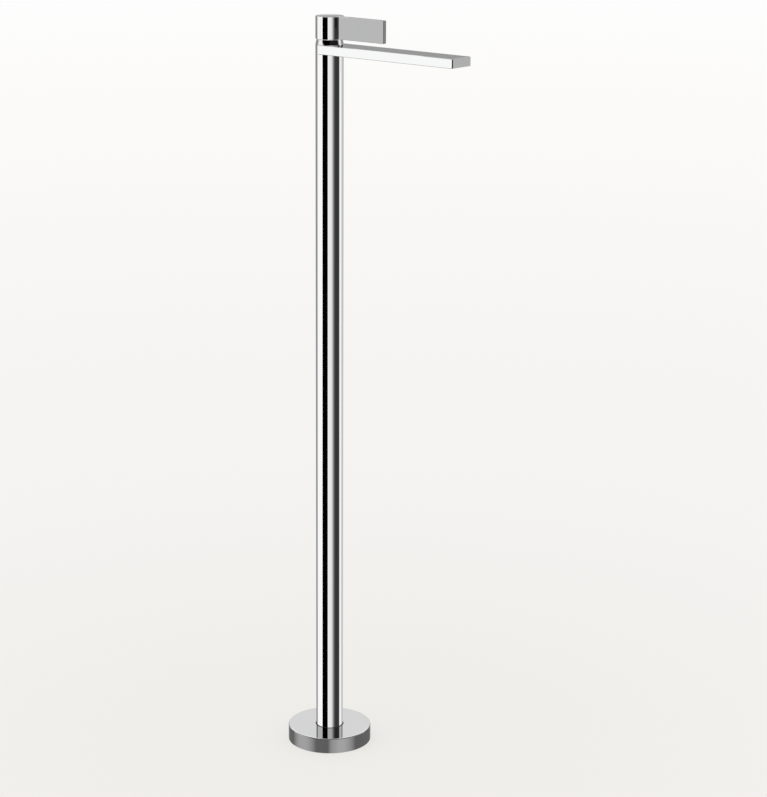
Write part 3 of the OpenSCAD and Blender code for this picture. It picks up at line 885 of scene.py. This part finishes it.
boards = [  # (name, middle and half width round, middle and half height, brightness), in degrees
    ("ceiling", 0, 180, 90, 40, 1.0),
    ("backWall", 180, 80, 26.5, 23.5, 0.70),
    ("backStep", 180, 40, 7.05, 0.91, 0.324),
    ("frontFlag", -33, 33.2, 17.7, 3.5, 0.0),
    ("neckFlag", 39, 39.5, 15.9, 5.4, 0.012),
    ("sideWall", 136, 23, 4, 6, 0.28),
    ("sideFlag", 136, 23, 15, 5, 0.06),
    ("upperFlag", 0, 132, 54.5, 20.5, 0.04),
    ("leftFlag", -92, 40, 25, 5, 0.30),
    ("rightFlag", 92, 40, 25, 5, 0.30),
    ("rimGlow", 156, 24, 38, 12, 0.98),
    ("spoutRim", -166, 6, 38.2, 0.7, 0.05),
    ("handleFlag", 52.5, 11, -6.45, 0.45, 0.012),
    ("leverSide", -81.7, 0.85, -6.43, 0.43, 0.504),
    ("leverEnd", 98.8, 0.6, -6.54, 0.40, 0.218),
    ("spoutEnd", 100.7, 0.8, -7.26, 0.22, 0.45),
    ("leverRim", -88.5, 3, 27.1, 0.45, 0.90),
    ("spoutUnder", -97, 9, -38.3, 2.5, 0.05),
]
echoBoards = [  # the same, for what is mirrored twice: tone None is the dimmed panels
    ("columnEcho", 0, 170, 23.6, 1.6, None),  # the column, mirrored in the flange's top
    ("spoutEcho", 52, 20, 6.6, 0.9, 0.04),  # the spout's top, mirrored in the cap
]


def turnToCamera(tree, source):
    # how far round from the camera's side a direction or place is, in degrees, and its height
    turn = place(tree, "ShaderNodeMapping", {"Rotation": (0, 0, -studio["heading"])}, vector_type="POINT")
    wire(tree, source, turn.inputs["Vector"])
    parts = place(tree, "ShaderNodeSeparateXYZ")
    wire(tree, turn.outputs["Vector"], parts.inputs[0])
    back = calc(tree, "MULTIPLY", parts.outputs["Y"], -1.0)
    around = calc(tree, "DEGREES", calc(tree, "ARCTAN2", parts.outputs["X"], back))
    return around, parts.outputs["Z"]


def within(tree, value, middle, half):
    node = place(tree, "ShaderNodeMath", {1: middle, 2: half}, operation="COMPARE")
    wire(tree, value, node.inputs[0])
    return node.outputs[0]


def makeWorld():
    world = bpy.data.worlds.new("studio")
    scene.world = world
    world.use_nodes = True
    tree = world.node_tree
    tree.nodes.clear()
    coords = place(tree, "ShaderNodeTexCoord")
    around, rise = turnToCamera(tree, coords.outputs["Generated"])
    height = calc(tree, "DEGREES", calc(tree, "ARCSINE", rise))
    away = calc(tree, "SUBTRACT", calc(tree, "ABSOLUTE", height), studio["handleHeight"])
    spread = calc(tree, "SUBTRACT", 1.0, calc(tree, "MULTIPLY", away, studio["lean"]))
    panels = bands(tree, calc(tree, "MULTIPLY", around, spread), -180, 180, studio["panels"])
    dimmed = blendColors(tree, studio["echoShare"], (0.0, 0.0, 0.0), panels)
    skyFrom, skyTo, skyShare, skyTone = studio["sky"]
    color = blendColors(tree, remap(tree, height, skyFrom, skyTo, 0.0, skyShare), panels, skyTone)
    groundFrom, groundTo, panelShare, groundTone = studio["ground"]
    ground = blendColors(tree, panelShare, groundTone, panels)
    color = blendColors(tree, remap(tree, height, groundFrom, groundTo), color, ground)
    rays = place(tree, "ShaderNodeLightPath")
    again = calc(tree, "GREATER_THAN", rays.outputs["Glossy Depth"], studio["echoDepth"])
    for board in boards + echoBoards:
        middle, half, level, reach, tone = board[1:]
        aside = calc(tree, "ABSOLUTE", around) if middle > studio["pairedPast"] else around
        mask = calc(tree, "MULTIPLY", within(tree, aside, middle, half), within(tree, height, level, reach))
        if board in echoBoards:
            mask = calc(tree, "MULTIPLY", mask, again)
        color = blendColors(tree, mask, color, dimmed if tone is None else (tone, tone, tone))

    # mirror rays see the panels, the camera a pale backdrop, and all else gets plain light
    plain = studio["light"]
    lit = blendColors(tree, rays.outputs["Is Glossy Ray"], (plain, plain, plain), color)
    seen = blendColors(tree, rays.outputs["Is Camera Ray"], lit, studio["backdrop"])
    background = place(tree, "ShaderNodeBackground")
    wire(tree, seen, background.inputs["Color"])
    output = place(tree, "ShaderNodeOutputWorld")
    wire(tree, background.outputs[0], output.inputs["Surface"])


def stageObject(name, bm, finish):
    made = newObject(name, bm)
    material = bpy.data.materials.new(finish)
    material.use_nodes = True
    material.node_tree.nodes.clear()
    made.data.materials.append(material)
    return made, material.node_tree


floor = {
    "radius": 80.0,
    "sides": 96,
    "drop": 0.0001,  # keeps it just clear of the flange's underside
    "shadowShare": 0.22,  # how much of the object's shadow the camera sees
    "tones": [  # distance from the column, red, green, blue
        (0.0, 0.862, 0.846, 0.812), (0.40, 0.879, 0.862, 0.831), (1.3, 0.913, 0.896, 0.880),
        (2.7, 0.930, 0.913, 0.896), (5.2, 0.964, 0.947, 0.930), (11.0, 0.984, 0.984, 0.984)],
}


def makeFloor():
    bm = bmesh.new()
    bmesh.ops.create_circle(bm, cap_ends=True, radius=floor["radius"], segments=floor["sides"])
    tree = stageObject("floor", moveBy(bm, z=-floor["drop"]), "paleFloor")[1]

    # a pale sweep that lightens away from the object, set out by the square root of the distance
    coords = place(tree, "ShaderNodeTexCoord")
    radius = place(tree, "ShaderNodeVectorMath", operation="LENGTH")
    wire(tree, coords.outputs["Object"], radius.inputs[0])
    stops = [(math.sqrt(reach), *tone) for reach, *tone in floor["tones"]]
    sweep = bands(tree, calc(tree, "SQRT", radius.outputs["Value"]), 0, stops[-1][0], stops)
    matte = place(tree, "ShaderNodeBsdfDiffuse")
    wire(tree, sweep, matte.inputs["Color"])
    glow = place(tree, "ShaderNodeEmission")
    wire(tree, sweep, glow.inputs["Color"])
    clear = place(tree, "ShaderNodeBsdfTransparent")
    rays = place(tree, "ShaderNodeLightPath")
    side = place(tree, "ShaderNodeNewGeometry")

    # the camera sees a faint shadow, the chrome sees the panels instead, and from below it is clear
    seen = mixShaders(tree, floor["shadowShare"], glow.outputs[0], matte.outputs[0])
    shown = mixShaders(tree, rays.outputs["Is Camera Ray"], matte.outputs[0], seen)
    shown = mixShaders(tree, rays.outputs["Is Glossy Ray"], shown, clear.outputs[0])
    shown = mixShaders(tree, side.outputs["Backfacing"], shown, clear.outputs[0])
    output = place(tree, "ShaderNodeOutputMaterial")
    wire(tree, shown, output.inputs["Surface"])


# Painted reflection card, a thin glowing ring close round the flange, which only the flange's side mirrors:
# its tones are a painted reflection on the flange's side

paintedReflectionCard = {
    "gap": 0.00005,
    "bottom": -0.002,
    "reach": 0.006,  # only mirror rays that started this close see it
    "tones": [  # twice the degrees round from the camera's side, brightness of the painted reflection
        (-180, 0.34), (-150, 0.14), (-124, 0.12), (-104, 0.30), (-92, 0.37), (-74, 0.38),
        (-60, 0.33), (-48, 0.235), (-38, 0.12), (-5, 0.115), (5, 0.28), (24, 0.375),
        (40, 0.385), (56, 0.31), (66, 0.235), (78, 0.115), (150, 0.13), (180, 0.34)],
}


def makePaintedReflectionCard():
    bottom, crease = paintedReflectionCard["bottom"], creasedRim(flange["radius"], flange["height"], flange["rim"])[0][1]
    bm = bmesh.new()
    bmesh.ops.create_circle(bm, cap_ends=False, radius=flange["radius"] + paintedReflectionCard["gap"],
                            segments=flange["steps"])
    moveBy(bm, z=bottom)
    moveBy(bm, z=crease - bottom, made=bmesh.ops.extrude_edge_only(bm, edges=bm.edges[:]))
    card, tree = stageObject("paintedReflectionCard", bm, "paintedReflectionCard")
    card.visible_camera = False
    card.visible_diffuse = False
    card.visible_transmission = False
    card.visible_shadow = False
    coords = place(tree, "ShaderNodeTexCoord")
    around = turnToCamera(tree, coords.outputs["Object"])[0]
    twice = place(tree, "ShaderNodeMath", {1: 180.0, 2: -180.0}, operation="WRAP")
    wire(tree, calc(tree, "MULTIPLY", around, 2.0), twice.inputs[0])
    # the glow carries the painted reflection's tones
    glow = place(tree, "ShaderNodeEmission")
    wire(tree, bands(tree, twice.outputs[0], -180, 180, paintedReflectionCard["tones"]), glow.inputs["Color"])
    clear = place(tree, "ShaderNodeBsdfTransparent")
    rays = place(tree, "ShaderNodeLightPath")
    near = calc(tree, "LESS_THAN", rays.outputs["Ray Length"], paintedReflectionCard["reach"])
    output = place(tree, "ShaderNodeOutputMaterial")
    wire(tree, mixShaders(tree, near, clear.outputs[0], glow.outputs[0]), output.inputs["Surface"])


lamp = {
    "share": 0.12,  # brightness that it adds to the floor
    "tilt": (math.radians(28), math.radians(-12), 0),
    "softness": math.radians(50),
}


def makeLamp():
    data = bpy.data.lights.new("softLamp", "SUN")
    data.energy = math.pi * lamp["share"] / math.cos(lamp["tilt"][0])
    data.angle = lamp["softness"]
    made = bpy.data.objects.new("softLamp", data)
    made.rotation_euler = lamp["tilt"]
    made.visible_glossy = False
    scene.collection.objects.link(made)


makeWorld()
makeFloor()
makePaintedReflectionCard()
makeLamp()
print("studio made")
